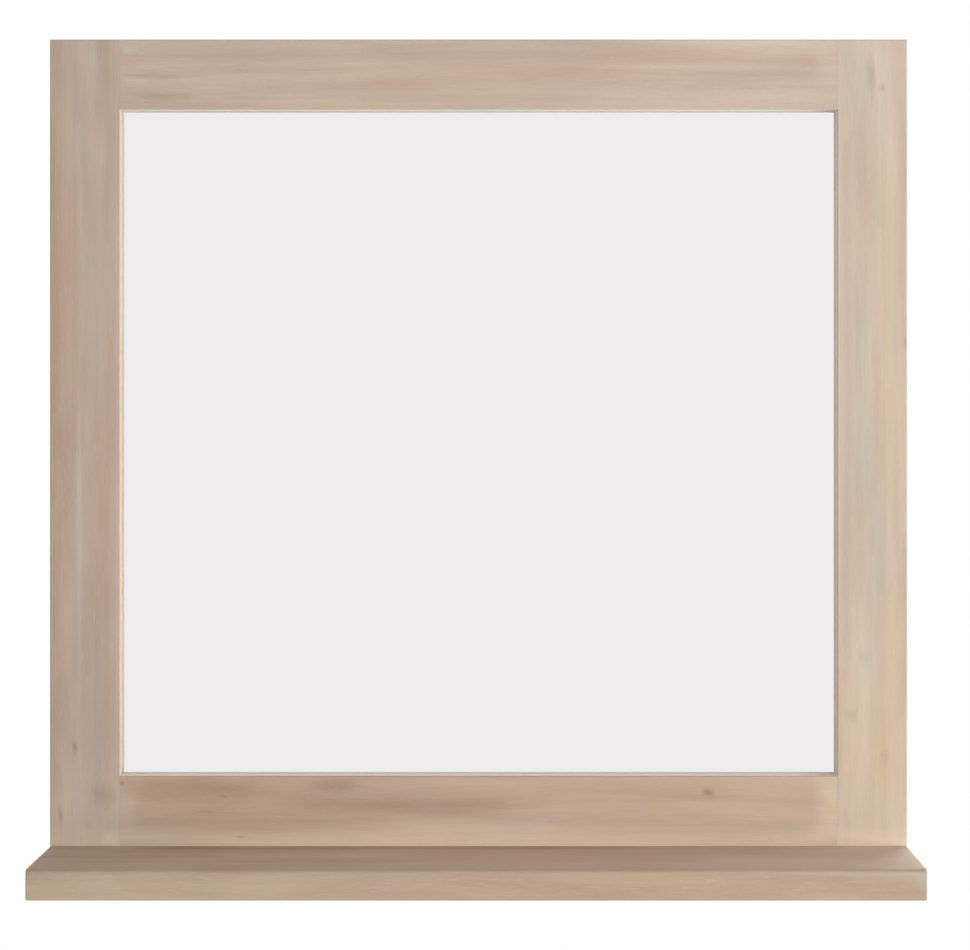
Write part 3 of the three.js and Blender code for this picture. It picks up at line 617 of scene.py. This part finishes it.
def ground_edge():
    material, tree, shader, place = new_material("ground_glass_edge")
    grit = cloud(tree, place["Object"], (900, 900, 900), detail=3.0)
    colour = mix(tree, grit, shade(96, 132, 118), shade(168, 192, 182))
    roughness = spread(tree, grit, 0.3, 0.7, 0.35, 0.6)
    finish_surface(tree, shader, colour, roughness, grit, 0.05 * MM)
    return material


def backing_paint():
    material, tree, shader, place = new_material("backing_paint")
    curtain = cloud(tree, place["Object"], (4, 4, 60), detail=3.0)
    colour = mix(tree, spread(tree, curtain, 0.3, 0.7), shade(92, 96, 98), shade(118, 122, 124))
    roughness = spread(tree, curtain, 0.3, 0.7, 0.4, 0.6)
    finish_surface(tree, shader, colour, roughness, curtain, 0.05 * MM)
    return material


def finish_glass():
    """The sheet's front is the silvered face, its back is painted and its edges are ground."""
    mesh = nodes["mirror_glass"].data
    mesh.materials.clear()
    for material in (silvered_face(), backing_paint(), ground_edge()):
        mesh.materials.append(material)
    for polygon in mesh.polygons:
        lean = polygon.normal.y
        polygon.material_index = 0 if lean < -SQUARE_ON else 1 if lean > SQUARE_ON else 2


finish_glass()

# ------------------------------------------------------------------ other finishes

WIRE_PITCH = 1.6 * MM  # of the screen that prints the panel


def hardboard():
    """Pressed wood fibre, with the print of the press's wire screen in its outer face."""
    material, tree, shader, place = new_material("hardboard")
    room = place["Object"]
    felt = cloud(tree, room, (760, 760, 760), detail=5.0, roughness=0.65, warp=1.2)
    tide = patches(tree, room, (7, 7, 7), 0.3, 0.7, detail=3.0)
    colour = mix(tree, spread(tree, felt, 0.3, 0.7), shade(112, 80, 52), shade(158, 119, 82))
    colour = mix(tree, times(tree, tide, 0.35), colour, shade(126, 94, 64))
    for lean, length, fineness in ((0.5, 190, 1300), (1.9, 170, 1500), (2.7, 90, 620)):
        turned = add_node(tree, "Mapping", {"Vector": room, "Rotation": (0, lean, 0)}).outputs[0]
        strands = patches(tree, turned, (length, 800, fineness), 0.58, 0.72, detail=2.0, warp=0.4)
        colour = mix(tree, times(tree, strands, 0.30), colour, shade(184, 147, 108))
    clumps = patches(tree, room, (150, 150, 150), 0.54, 0.70, detail=4.0, warp=0.8)
    colour = mix(tree, times(tree, clumps, 0.30), colour, shade(104, 73, 47))
    wires = vector_maths(tree, "MULTIPLY", room, (2 * math.pi / WIRE_PITCH,) * 3)
    wires = add_node(tree, "SeparateXYZ", {0: wires}).outputs
    print_depth = times(tree, maths(tree, "SINE", wires[0]), maths(tree, "SINE", wires[2]))
    colour = mix(tree, spread(tree, print_depth, 0.2, 1.0, 0.0, 0.3), colour, shade(88, 60, 38))
    height = maths(tree, "SUBTRACT", felt, times(tree, print_depth, 0.7))
    roughness = spread(tree, felt, 0.3, 0.7, 0.62, 0.8)
    finish_surface(tree, shader, colour, roughness, height, 0.09 * MM)
    return material


def grey_card():
    material, tree, shader, place = new_material("grey_card")
    pulp = cloud(tree, place["Object"], (700, 700, 700), detail=5.0, roughness=0.7, warp=1.0)
    specks = patches(tree, place["Object"], (260, 900, 420), 0.68, 0.74, detail=1.0)
    colour = mix(tree, pulp, shade(146, 142, 136), shade(188, 184, 176))
    colour = mix(tree, times(tree, specks, 0.5), colour, shade(104, 98, 90))
    finish_surface(tree, shader, colour, spread(tree, pulp, 0.3, 0.7, 0.9, 1.0), pulp, 0.04 * MM)
    return material


def cork():
    """Pressed granules with dark seams between them."""
    material, tree, shader, place = new_material("cork")
    granules = {"Vector": place["Object"], "Scale": 520.0}
    cells = add_node(tree, "TexVoronoi", granules)
    seams = add_node(tree, "TexVoronoi", granules, feature="DISTANCE_TO_EDGE")
    seam = spread(tree, seams.outputs["Distance"], 0.09, 0.0)
    tint = add_node(tree, "SeparateColor", {0: cells.outputs["Color"]}).outputs[0]
    colour = mix(tree, tint, shade(158, 112, 68), shade(208, 166, 116))
    colour = mix(tree, times(tree, seam, 0.7), colour, shade(86, 56, 34))
    height = maths(tree, "SUBTRACT", times(tree, tint, 0.4), seam)
    finish_surface(tree, shader, colour, spread(tree, tint, 0, 1, 0.8, 0.95), height, 0.12 * MM)
    return material


def beech():
    """Raw beech whose grain stands upright, with its small dark ray flecks."""
    material, tree, shader, place = new_material("beech")
    fibres = patches(tree, place["Object"], (1500, 1500, 40), 0.3, 0.7, detail=3.0)
    flecks = patches(tree, place["Object"], (1900, 1900, 330), 0.64, 0.7, detail=1.0)
    colour = mix(tree, fibres, shade(196, 160, 116), shade(220, 188, 146))
    colour = mix(tree, times(tree, flecks, 0.6), colour, shade(150, 106, 70))
    height = maths(tree, "SUBTRACT", times(tree, fibres, 0.5), flecks)
    finish_surface(tree, shader, colour, spread(tree, fibres, 0, 1, 0.6, 0.75), height, 0.03 * MM)
    return material


def zinc_steel():
    """Zinc-plated steel with a faint bloom, handling marks and fine scratches."""
    material, tree, shader, place = new_material("zinc_steel")
    room = place["Object"]
    bloom = patches(tree, room, (130, 130, 130), 0.3, 0.7, detail=3.0)
    stain = patches(tree, room, (420, 420, 420), 0.56, 0.7, detail=3.0)
    scratch = 0.0
    for lean in (0.3, 1.2, 2.5):
        turned = add_node(tree, "Mapping", {"Vector": room, "Rotation": (0, lean, 0)}).outputs[0]
        scored = patches(tree, turned, (240, 900, 5200), 0.68, 0.74, detail=1.0)
        scratch = maths(tree, "MAXIMUM", scratch, scored)
    colour = mix(tree, bloom, shade(190, 194, 202), shade(206, 204, 196))
    colour = mix(tree, times(tree, stain, 0.35), colour, shade(150, 150, 148))
    roughness = maths(tree, "ADD", spread(tree, bloom, 0, 1, 0.26, 0.38), times(tree, stain, 0.14))
    height = maths(tree, "SUBTRACT", times(tree, bloom, 0.2), scratch)
    finish_surface(tree, shader, colour, roughness, height, 0.006 * MM)
    shader["Metallic"].default_value = 1.0
    return material


def rubber():
    material, tree, shader, place = new_material("rubber")
    grain = cloud(tree, place["Object"], (1600, 1600, 1600), detail=3.0)
    dust = patches(tree, place["Object"], (240, 240, 240), 0.5, 0.75, detail=4.0)
    colour = mix(tree, times(tree, dust, 0.3), shade(40, 39, 38), shade(112, 108, 102))
    finish_surface(tree, shader, colour, spread(tree, dust, 0, 1, 0.62, 0.9), grain, 0.03 * MM)
    return material


zinc = zinc_steel()

# The start of a node's name, its material slot in the record, and its finish. The glass already
# has one finish for each kind of face.
FINISHES = {
    "mirror_glass": ("silvered_glass", None),
    "card_sheet": ("grey_card", grey_card()),
    "back_panel": ("hardboard", hardboard()),
    "setting_block": ("cork", cork()),
    "shelf_dowel": ("beech", beech()),
    "turn_button": ("zinc_steel", zinc),
    "hanger": ("zinc_steel", zinc),
    "shelf_screw": ("zinc_steel", zinc),
    "wall_bumper": ("rubber", rubber()),
}


def finish_of(name):
    if name in boards:
        return "whitewashed_wood", boards[name]
    return next(finish for start, finish in FINISHES.items() if name.startswith(start))


for name, piece in nodes.items():
    slot, material = finish_of(name)
    if material:
        piece.data.materials.clear()
        piece.data.materials.append(material)

# ------------------------------------------------------------------ small ironmongery

SCREW_SIDES = 32
ROUND_SIDES = 48  # of bumpers and dowels
STEPS_A_TURN = 16  # of a screw's thread
RIDGE_WIDTH = 0.64  # of a thread's pitch, at the ridge's foot
RIDGE_SINK = 0.12  # of the pitch, by which the foot lies inside the core
RIDGE_END = 0.05  # of the ridge's height, where the ridge ends
BLADE_THICKNESS = 0.26  # of the span of a cross recess
BLADE_TAPER = (0.4, 0.55, 1)  # of its span and thickness, from its top to its foot
SLIVER = 0.002 * MM  # the narrowest face that is kept
SPIN_STEP = 2.4  # radians between one screw and the next, so that no two stop at the same turn

# Edges flatter than these angles are shown smooth.
SCREW_SMOOTHING = math.radians(38)
ROUND_SMOOTHING = math.radians(35)
PLATE_SMOOTHING = math.radians(40)

PLATE_EASE = 0.25 * MM
BUTTON_EASE = 0.15 * MM
EASED_ANGLE = math.radians(50)  # edges sharper than this are eased


def nothing_selected():
    bpy.ops.object.select_all(action="DESELECT")


def select_only(piece):
    nothing_selected()
    piece.select_set(True)
    bpy.context.view_layer.objects.active = piece


def select_points(piece, chosen):
    """Selects, in edit mode, the points of the active piece for whose place chosen is true."""
    bpy.ops.object.mode_set(mode="EDIT")
    bpy.ops.mesh.select_mode(type="VERT")
    bpy.ops.mesh.select_all(action="DESELECT")
    bpy.ops.object.mode_set(mode="OBJECT")
    for point in piece.data.vertices:
        point.select = bool(chosen(point.co))
    bpy.ops.object.mode_set(mode="EDIT")


def select_faces(piece, chosen):
    """Selects, in edit mode, the faces of the active piece for whose normal chosen is true."""
    bpy.ops.object.mode_set(mode="EDIT")
    bpy.ops.mesh.select_mode(type="FACE")
    bpy.ops.mesh.select_all(action="DESELECT")
    bpy.ops.object.mode_set(mode="OBJECT")
    for face in piece.data.polygons:
        face.select = bool(chosen(face.normal))
    bpy.ops.object.mode_set(mode="EDIT")


def turned_piece(name, profile, sides, flute=1.0):
    """A solid turned about Z, drawn out ring by ring through its (radius, height) points. With
    flute below 1, every other line of points lies that much nearer to the axis."""
    nothing_selected()
    radius, height = profile[0]
    bpy.ops.mesh.primitive_circle_add(
        vertices=sides, radius=radius, fill_type="NGON", location=(0, 0, height)
    )
    piece = bpy.context.object
    piece.name = name
    if flute < 1:
        turn = 2 * math.pi / sides
        select_points(piece, lambda place: round(math.atan2(place.y, place.x) / turn) % 2)
        bpy.ops.transform.resize(value=(flute, flute, 1), center_override=(0, 0, height))
    bpy.ops.object.mode_set(mode="EDIT")
    bpy.ops.mesh.select_all(action="SELECT")
    for next_radius, next_height in profile[1:]:
        rise = (0, 0, next_height - height)
        bpy.ops.mesh.extrude_region_move(TRANSFORM_OT_translate={"value": rise})
        share = next_radius / radius
        bpy.ops.transform.resize(value=(share, share, 1), center_override=(0, 0, next_height))
        radius, height = next_radius, next_height
    bpy.ops.mesh.select_all(action="SELECT")
    bpy.ops.mesh.normals_make_consistent(inside=False)
    bpy.ops.object.mode_set(mode="OBJECT")
    bpy.ops.object.transform_apply(location=True)
    return piece


def helix(crest, core, pitch, foot, turns):
    """A screw thread: a ridge from the core's radius out to the crest's, wound about Z."""
    nothing_selected()
    root = core - RIDGE_SINK * pitch
    reach = crest - root
    # A circle of three points, stood up with one point outwards, is the ridge's profile. Such a
    # triangle is 1.5 high and the root of 3 wide.
    bpy.ops.mesh.primitive_circle_add(
        vertices=3, radius=1, fill_type="NOTHING", rotation=(QUARTER, QUARTER, 0)
    )
    thread = bpy.context.object
    bpy.ops.object.transform_apply(rotation=True)
    bpy.ops.object.mode_set(mode="EDIT")
    bpy.ops.mesh.select_all(action="SELECT")
    size = (reach / 1.5, 1, RIDGE_WIDTH * pitch / math.sqrt(3))
    bpy.ops.transform.resize(value=size, center_override=(0, 0, 0))
    bpy.ops.transform.translate(value=(root + reach / 3, 0, foot))
    bpy.ops.object.mode_set(mode="OBJECT")
    winding = thread.modifiers.new("winding", "SCREW")
    winding.screw_offset = pitch
    winding.iterations = turns
    winding.steps = winding.render_steps = STEPS_A_TURN
    winding.use_merge_vertices = False
    bpy.ops.object.modifier_apply(modifier=winding.name)
    bpy.ops.object.mode_set(mode="EDIT")
    bpy.ops.mesh.select_mode(type="EDGE")
    bpy.ops.mesh.select_all(action="DESELECT")
    bpy.ops.mesh.select_non_manifold()
    bpy.ops.mesh.fill_holes(sides=3)  # both ends of the ridge
    bpy.ops.mesh.select_all(action="SELECT")
    bpy.ops.mesh.normals_make_consistent(inside=False)
    # Both ends of the ridge run out into the core over half a turn.
    top = foot + pitch * turns
    run_out = STEPS_A_TURN // 2
    for step in range(run_out):

        def at_step(place):
            from_end = min(place.z - foot, top - place.z) / pitch
            outside = math.hypot(place.x, place.y) > core
            return outside and round(from_end * STEPS_A_TURN) == step

        select_points(thread, at_step)
        share = (root + reach * max(step / run_out, RIDGE_END)) / crest
        bpy.ops.transform.resize(value=(share, share, 1), center_override=(0, 0, 0))
    bpy.ops.object.mode_set(mode="OBJECT")
    return thread


def sink_cross(head, top, span, depth):
    """Cuts a cross recess, narrower at its foot, down into the top of a screw's head."""
    for turn in (0, QUARTER):
        nothing_selected()
        bpy.ops.mesh.primitive_cube_add(size=1, location=(0, 0, top))
        blade = bpy.context.object
        blade.scale = (span, BLADE_THICKNESS * span, 2 * depth)
        bpy.ops.object.transform_apply(location=True, scale=True)
        select_faces(blade, lambda normal: normal.z < -SQUARE_ON)
        bpy.ops.transform.resize(value=BLADE_TAPER, center_override=(0, 0, top - depth))
        bpy.ops.object.mode_set(mode="OBJECT")
        blade.rotation_euler.z = turn
        bpy.ops.object.transform_apply(rotation=True)
        cut = head.modifiers.new("recess", "BOOLEAN")
        cut.operation = "DIFFERENCE"
        cut.solver = "EXACT"
        cut.object = blade
        select_only(head)
        bpy.ops.object.modifier_apply(modifier=cut.name)
        bpy.data.objects.remove(blade)


def screw(name, profile, recess, thread):
    """A screw with its axis along Z and its head on top, joined from its body and its thread."""
    body = turned_piece(name, profile, SCREW_SIDES)
    sink_cross(body, **recess)
    # The cuts leave slivers where they meet the head's rings.
    bpy.ops.object.mode_set(mode="EDIT")
    bpy.ops.mesh.select_all(action="SELECT")
    bpy.ops.mesh.dissolve_degenerate(threshold=SLIVER)
    bpy.ops.object.mode_set(mode="OBJECT")
    ridge = helix(**thread)
    select_only(body)
    ridge.select_set(True)
    bpy.ops.object.join()
    bpy.ops.object.shade_smooth_by_angle(angle=SCREW_SMOOTHING)
    return body


def place_copy(master, name, place, turn):
    """A copy of a finished piece, with its own mesh, turned and put in its place."""
    select_only(master)
    bpy.ops.object.duplicate()
    piece = bpy.context.object
    piece.name = name + "_piece"
    piece.rotation_euler = turn
    piece.location = place
    bpy.ops.object.transform_apply(location=True, rotation=True)
    return piece


def stand_for(piece, name):
    """piece is shown in place of the CAD node, in its finish and on its body."""
    slot, material = finish_of(name)
    piece.data.materials.clear()
    piece.data.materials.append(material)
    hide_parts(name)
    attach(piece, nodes[name]["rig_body"])


def middle_of(name):
    low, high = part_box(name)
    return (low + high) / 2, low, high


def refined_copy(name, ease):
    """The CAD node's own form with its edges eased, which is shown in its place."""
    select_only(nodes[name])
    bpy.ops.object.duplicate()
    piece = bpy.context.object
    piece.name = name + "_piece"
    del piece["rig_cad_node"]
    piece.parent = None
    # Its triangles are joined into flat faces first, so that only real edges are eased.
    bpy.ops.object.mode_set(mode="EDIT")
    bpy.ops.mesh.select_all(action="SELECT")
    bpy.ops.mesh.remove_doubles(threshold=0.01 * MM)
    bpy.ops.mesh.dissolve_limited(angle_limit=math.radians(1))
    bpy.ops.object.mode_set(mode="OBJECT")
    edges = piece.modifiers.new("eased_edges", "BEVEL")
    edges.width = ease
    edges.segments = 2
    edges.angle_limit = EASED_ANGLE
    bpy.ops.object.modifier_apply(modifier=edges.name)
    bpy.ops.object.shade_smooth_by_angle(angle=PLATE_SMOOTHING)
    stand_for(piece, name)


# Profiles are (radius, height) points in millimetres, from the foot up.
PAN_HEAD_HEIGHT = 2.2 * MM
pan_profile = [
    (0.10, -13.9), (1.25, -10.6), (1.25, -0.9), (1.70, -0.5), (1.70, 0.0), (3.20, 0.0),
    (3.45, 0.15), (3.50, 0.5), (3.42, 0.95), (3.10, 1.45), (2.50, 1.85), (1.60, 2.10), (0.60, 2.19),
]
flat_profile = [
    (0.10, -49.8), (1.60, -44.6), (1.60, -20.0), (2.20, -19.2), (2.20, -2.30), (4.20, -0.36),
    (4.45, -0.2), (4.45, 0.0), (0.60, 0.0),
]


def in_metres(profile):
    return [(radius * MM, height * MM) for radius, height in profile]


pan_screw = screw(
    "pan_screw",
    in_metres(pan_profile),
    recess={"top": PAN_HEAD_HEIGHT, "span": 5.0 * MM, "depth": 1.5 * MM},
    thread={
        "crest": 1.72 * MM, "core": 1.25 * MM, "pitch": 1.4 * MM, "foot": -12.6 * MM, "turns": 8,
    },
)
flat_screw = screw(
    "flat_screw",
    in_metres(flat_profile),
    recess={"top": 0.0, "span": 6.2 * MM, "depth": 2.2 * MM},
    thread={
        "crest": 2.22 * MM, "core": 1.60 * MM, "pitch": 2.2 * MM, "foot": -48.0 * MM, "turns": 12,
    },
)
# The screws in the back point forward, and those under the shelf point up.
for count, name in enumerate(sorted(nodes)):
    spin = SPIN_STEP * count
    middle, low, high = middle_of(name)
    if name.startswith(("turn_button_screw", "hanger_screw")):
        place = (middle.x, high.y - PAN_HEAD_HEIGHT, middle.z)
        stand_for(place_copy(pan_screw, name, place, (-QUARTER, spin, 0)), name)
    elif name.startswith("shelf_screw"):
        place = (middle.x, middle.y, low.z)
        stand_for(place_copy(flat_screw, name, place, (math.pi, 0, spin)), name)
for master in (pan_screw, flat_screw):
    bpy.data.objects.remove(master)

bumper_profile = [
    (6.6, 0.0), (6.95, 0.12), (7.0, 0.4), (7.0, 2.1), (6.93, 2.75), (6.72, 3.4), (6.35, 4.0),
    (5.85, 4.45), (5.25, 4.74), (4.6, 4.84), (1.6, 4.85), (1.3, 4.7), (0.5, 4.62),
]
rubber_bumper = turned_piece("rubber_bumper", in_metres(bumper_profile), ROUND_SIDES)
dowel_profile = [(2.2, -15.0), (2.9, -14.2), (2.9, 14.2), (2.2, 15.0)]
fluted_dowel = turned_piece("fluted_dowel", in_metres(dowel_profile), ROUND_SIDES, flute=0.93)
for master, start, turn in (
    (rubber_bumper, "wall_bumper", (-QUARTER, 0, 0)),
    (fluted_dowel, "shelf_dowel", (0, 0, 0)),
):
    select_only(master)
    bpy.ops.object.shade_smooth_by_angle(angle=ROUND_SMOOTHING)
    for name in sorted(nodes):
        if name.startswith(start):
            middle, low, high = middle_of(name)
            place = (middle.x, low.y, middle.z) if start == "wall_bumper" else middle
            stand_for(place_copy(master, name, place, turn), name)
    bpy.data.objects.remove(master)

for name in sorted(nodes):
    if name.startswith("hanger_plate"):
        refined_copy(name, PLATE_EASE)
    elif name.startswith("turn_button_") and "screw" not in name:
        refined_copy(name, BUTTON_EASE)

# ------------------------------------------------------------------ floor, light and camera


def looked_at(tree):
    """1 for the rays that show a surface to the eye, straight, in a reflection or in glass."""
    path = tree.nodes.new("ShaderNodeLightPath").outputs
    seen = maths(tree, "MAXIMUM", path["Is Camera Ray"], path["Is Glossy Ray"])
    return maths(tree, "MAXIMUM", seen, path["Is Transmission Ray"])


def make_floor():
    """A pale round floor that fades into the white background towards its rim. It doesn't show
    from below, where it would hide the shelf's underside."""
    nothing_selected()
    bpy.ops.mesh.primitive_circle_add(
        vertices=FLOOR_SIDES, radius=FLOOR_RADIUS, fill_type="NGON", location=FLOOR_MIDDLE
    )
    floor = bpy.context.object
    floor.name = "studio_floor"
    bpy.ops.object.transform_apply(location=True)
    material, tree, shader, place = new_material("pale_floor")
    shader["Base Color"].default_value = shade(238, 238, 236)
    shader["Roughness"].default_value = 0.9
    from_middle = vector_maths(tree, "SUBTRACT", place["Object"], FLOOR_MIDDLE)
    away = vector_maths(tree, "LENGTH", from_middle)
    fade = spread(tree, away, *FLOOR_FADE, FLOOR_LEAST_WHITE, 1.0)
    fade = times(tree, looked_at(tree), fade)
    white = add_node(tree, "Emission", {"Color": (1, 1, 1, 1), "Strength": 1.0})
    both = add_node(tree, "MixShader", {"Fac": fade})
    tree.links.new(tree.nodes["Principled BSDF"].outputs[0], both.inputs[1])
    tree.links.new(white.outputs[0], both.inputs[2])
    clear = add_node(tree, "BsdfTransparent")
    below = add_node(tree, "NewGeometry").outputs["Backfacing"]
    shown = add_node(tree, "MixShader", {"Fac": below})
    tree.links.new(both.outputs[0], shown.inputs[1])
    tree.links.new(clear.outputs[0], shown.inputs[2])
    tree.links.new(shown.outputs[0], tree.nodes["Material Output"].inputs["Surface"])
    floor.data.materials.append(material)


def make_world(ambient):
    """Even light from all round, and white where the eye sees it."""
    world = bpy.data.worlds.new("studio")
    world.use_nodes = True
    bpy.context.scene.world = world
    tree = world.node_tree
    sky = tree.nodes["Background"]
    sky.inputs["Color"].default_value = (1, 1, 1, 1)
    strength = spread(tree, looked_at(tree), 0, 1, ambient, 1.0, smooth=False)
    plug(tree, sky.inputs["Strength"], strength)


def add_lamp(name, place, size, power):
    """A soft square lamp that faces the mirror, size metres across."""
    data = bpy.data.lights.new(name, "AREA")
    data.size = size
    data.energy = power
    lamp = bpy.data.objects.new(name, data)
    lamp.location = place
    beam = Vector(FRAME_MIDDLE) - Vector(place)
    lamp.rotation_euler = beam.to_track_quat("-Z", "Y").to_euler()
    lamp.visible_camera = False
    bpy.context.scene.collection.objects.link(lamp)


def make_camera():
    data = bpy.data.cameras.new("camera")
    data.sensor_width = SENSOR_WIDTH
    data.lens = FOCAL_LENGTH
    data.shift_x, data.shift_y = VIEW_SHIFT
    camera = bpy.data.objects.new("camera", data)
    camera.location = (EYE_ASIDE, FRAME_FRONT - EYE_BEFORE_FRAME, SHELF_TOP + EYE_ABOVE_SHELF)
    camera.rotation_euler = (QUARTER, 0, 0)
    bpy.context.scene.collection.objects.link(camera)
    bpy.context.scene.camera = camera


make_floor()
make_world(LIT_FROM_ALL_ROUND)
add_lamp("key", place=(2.3, -1.6, -0.3), size=1.2, power=60)
add_lamp("rear_fill", place=(0.9, 2.0, 0.6), size=1.5, power=26)
make_camera()
bpy.context.scene.view_settings.view_transform = "Standard"
